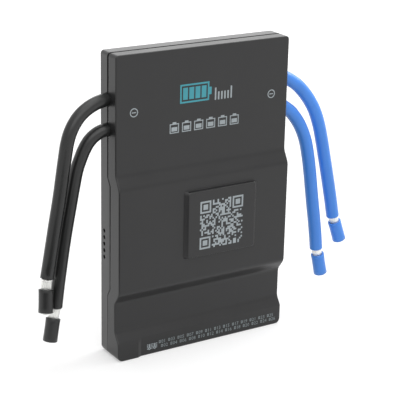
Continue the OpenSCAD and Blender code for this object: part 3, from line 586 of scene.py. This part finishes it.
panel = Print(PANEL_Y)
minus_sign(panel, -41.0, 132.4)
minus_sign(panel, 41.0, 132.2)
cell_row(panel, -20.4, 118.7, count=6, pitch=7.2, w=5.4, h=5.8)
scale_marks(panel, 6.0, 133.2, count=6, pitch=1.9, line=0.9, low=4.2, high=6.4)
panel.finish("print_panel", ink_white)

sign = Print(PANEL_Y)
battery_sign(sign, -14.6, 133.6, w=18.6, h=9.8)
sign.finish("print_sign", ink_teal)

square = Print(PAD_Y)
block_pattern(square, -4.9, 55.2, side=26.4, cells=28, seed=11)
square.finish("print_square", ink_white)

NUMBER_ROWS = [(1, 2, -23.7, 5.75, 5.95, 13), (2, 2, -22.3, 5.75, 3.45, 13)]
number_strip("print_numbers", LABEL_Y, NUMBER_ROWS, height=1.9)

heat = Print(LABEL_Y)
thermometer_sign(heat, -32.2, 4.3)
thermometer_sign(heat, -29.0, 4.3)
heat.finish("print_heat", ink_white)

lip = Print(LABEL_Y)
contact_marks(lip, NUMBER_ROWS, left=2.25, w=1.1, h=1.6, line=0.35)
lip.finish("print_lip", ink_fine)


# ---- Materials of the CAD nodes ----

CASE_FRONT = (0.015, 0.015, 0.0155)
CASE_REAR = (0.020, 0.020, 0.0205)

case_front = surface("case_front", CASE_FRONT, 0.32, grain=1400, depth=0.010, spread=0.06,
                     bevel=0.5 * MM, specular=0.42)
case_rear = surface("case_rear", CASE_REAR, 0.30, grain=1400, depth=0.008, spread=0.06,
                    bevel=0.2 * MM, specular=0.46)
steel = surface("zinc_steel", (0.55, 0.56, 0.58), 0.32, grain=2500, depth=0.01, metallic=1.0)
board = surface("solder_mask", (0.02, 0.16, 0.08), 0.30, grain=400, depth=0.03, coat=0.5)
nylon = surface("nylon", (0.80, 0.77, 0.68), 0.40, grain=1200, depth=0.01)
pins = surface("tinned_pins", (0.80, 0.74, 0.55), 0.28, grain=2500, depth=0.005, metallic=1.0)
copper = surface("copper", (0.85, 0.42, 0.24), 0.34, grain=1500, depth=0.01, metallic=1.0)
epoxy = surface("epoxy", (0.03, 0.03, 0.031), 0.55, grain=3000, depth=0.01)
silicone_pad = surface("silicone_pad", (0.42, 0.52, 0.62), 0.70, grain=1800, depth=0.02)
aluminium = surface("aluminium", (0.72, 0.73, 0.74), 0.36, grain=300, depth=0.01,
                    stretch=(8, 1, 1), metallic=1.0)
alloy = surface("alloy_strip", (0.58, 0.56, 0.53), 0.34, grain=1500, depth=0.01, metallic=1.0)
shrink = surface("shrink_sleeve", (0.04, 0.08, 0.25), 0.28, grain=600, depth=0.01)
ferrite = surface("ferrite", (0.06, 0.06, 0.062), 0.60, grain=2200, depth=0.03)
radio_mask = surface("radio_mask", (0.02, 0.05, 0.20), 0.30, grain=400, depth=0.02)
clear = surface("clear_light", (0.75, 0.80, 0.84), 0.18, grain=900, depth=0.005)

BY_SLOT = {
    "front_case": case_front, "rear_case": case_rear, "screws": steel, "board": board,
    "connector": nylon, "pins": pins, "copper": copper, "chips": epoxy, "pad": silicone_pad,
    "spreader": aluminium, "shunts": alloy, "capacitors": shrink, "cores": ferrite,
    "radio_board": radio_mask, "lights": clear, "strands": tinned, "black_lead": black_rubber,
    "blue_lead": blue_rubber,
}
for part in frame["record"]["subparts"]:
    mesh = frame["nodes"][part["node"]].data
    mesh.materials.clear()
    mesh.materials.append(BY_SLOT[part["material_slot"]])


# ---- Floor, world and lamps ----

# Strength of the room's soft light.
ROOM = 0.55
# The floor's colour, half of its width, and the gap between it and the part.
FLOOR_COLOUR = (0.6, 0.6, 0.6, 1)
FLOOR_HALF = 6
FLOOR_DROP = 0.02 * MM
# The floor's own white grows with the distance from the part, in metres. It is lower near the
# part, which paints shade round the part's base.
FLOOR_GLOW_PAINTED_SHADE = {"From Min": 0.45, "From Max": 1.3, "To Min": 0.40, "To Max": 0.85}
# Black card low in front of the part, on its left.
FLAG_AT = (-0.25, -0.27, 0.002)
FLAG_SIZE = (0.24, 0.46, 1)
FLAG_TURN = math.radians(-33)
MIDDLE = (0, 0, 0.08)
# Each lamp's place, the point that it faces, its width and height, and its watts.
SOFTBOXES = {
    "softbox_top": ((0.05, -0.05, 1.1), MIDDLE, (1.1, 1.1), 6),
    "softbox_back": ((0.55, 0.85, 0.55), (0, 0, 0.16), (0.9, 0.5), 1.2),
    "softbox_right": ((1.0, 0.1, 0.80), MIDDLE, (0.8, 0.8), 8),
    "softbox_front": ((-0.35, -1.0, 0.95), MIDDLE, (1.4, 0.8), 5.5),
}


def seen_directly(nodes):
    """1 for rays from the camera and for those that gloss or glass sends on, else 0."""
    ray = nodes.add("LightPath").outputs
    total = ray["Is Camera Ray"]
    for kind in ("Is Glossy Ray", "Is Transmission Ray"):
        either = nodes.add("Math")
        either.operation = "MAXIMUM"
        nodes.join(total, either.inputs[0])
        nodes.join(ray[kind], either.inputs[1])
        total = either.outputs["Value"]
    return total


def floor_material():
    """White floor that keeps the part's soft shadow and adds painted shade round the part: its own
    white is lower near the part and grows away from it.
    """
    material = bpy.data.materials.new("white_floor")
    nodes = Nodes(material)
    lit = nodes.add("BsdfDiffuse", Color=FLOOR_COLOUR)
    distance = nodes.add("VectorMath")
    distance.operation = "LENGTH"
    nodes.join(nodes.add("TexCoord").outputs["Object"], distance.inputs[0])
    # Painted shade: the floor's own white is dimmest near the part, and the case reflects that
    # darker floor.
    strength = nodes.add("MapRange", Value=distance.outputs["Value"])
    for name, value in FLOOR_GLOW_PAINTED_SHADE.items():
        strength.inputs[name].default_value = value
    glow = nodes.add("Emission", Color=(1, 1, 1, 1), Strength=strength.outputs["Result"])
    both = nodes.add("AddShader")
    nodes.join(lit.outputs["BSDF"], both.inputs[0])
    nodes.join(glow.outputs["Emission"], both.inputs[1])
    mix = nodes.add("MixShader", Fac=seen_directly(nodes))
    nodes.join(lit.outputs["BSDF"], mix.inputs[1])
    nodes.join(both.outputs["Shader"], mix.inputs[2])
    nodes.join(mix.outputs["Shader"], nodes.add("OutputMaterial").inputs["Surface"])
    return material


def level_plane(name, half, material):
    """Level square. half is half of its width."""
    bm = bmesh.new()
    bmesh.ops.create_grid(bm, x_segments=1, y_segments=1, size=half)
    mesh = bpy.data.meshes.new(name)
    bm.to_mesh(mesh)
    bm.free()
    mesh.materials.append(material)
    return link(bpy.data.objects.new(name, mesh))


def make_floor():
    floor = level_plane("floor", FLOOR_HALF, floor_material())
    floor.location.z = CAD_BOX[0].z - FLOOR_DROP


def make_world():
    """Soft grey room light. The camera, gloss and glass see it as white."""
    world = bpy.data.worlds.new("studio")
    nodes = Nodes(world)
    room = nodes.add("Background", Color=(1, 1, 1, 1), Strength=ROOM)
    seen_white = nodes.add("Background", Color=(1, 1, 1, 1), Strength=1.0)
    mix = nodes.add("MixShader", Fac=seen_directly(nodes))
    nodes.join(room.outputs["Background"], mix.inputs[1])
    nodes.join(seen_white.outputs["Background"], mix.inputs[2])
    nodes.join(mix.outputs["Shader"], nodes.add("OutputWorld").inputs["Surface"])
    bpy.context.scene.world = world


def make_flag():
    """Black card that only gloss shows, as the dark side of a studio."""
    black_card = surface("black_card", (0.01, 0.01, 0.01), 0.9, specular=0.0)
    card = level_plane("flag", 0.5, black_card)
    card.location = FLAG_AT
    card.scale = FLAG_SIZE
    card.rotation_euler.z = FLAG_TURN
    for ray in ("camera", "diffuse", "transmission", "volume_scatter", "shadow"):
        setattr(card, "visible_" + ray, False)


def softbox(name, place, aim, size, power):
    """Soft lamp that the camera doesn't see."""
    lamp = bpy.data.lights.new(name, "AREA")
    lamp.shape = "RECTANGLE"
    lamp.size, lamp.size_y = size
    lamp.energy = power
    obj = link(bpy.data.objects.new(name, lamp))
    obj.location = place
    obj.rotation_euler = (Vector(aim) - Vector(place)).to_track_quat("-Z", "Y").to_euler()
    obj.visible_camera = False


make_flag()
make_floor()
make_world()
for name, facts in SOFTBOXES.items():
    softbox(name, *facts)

bpy.context.scene.view_settings.view_transform = "Standard"
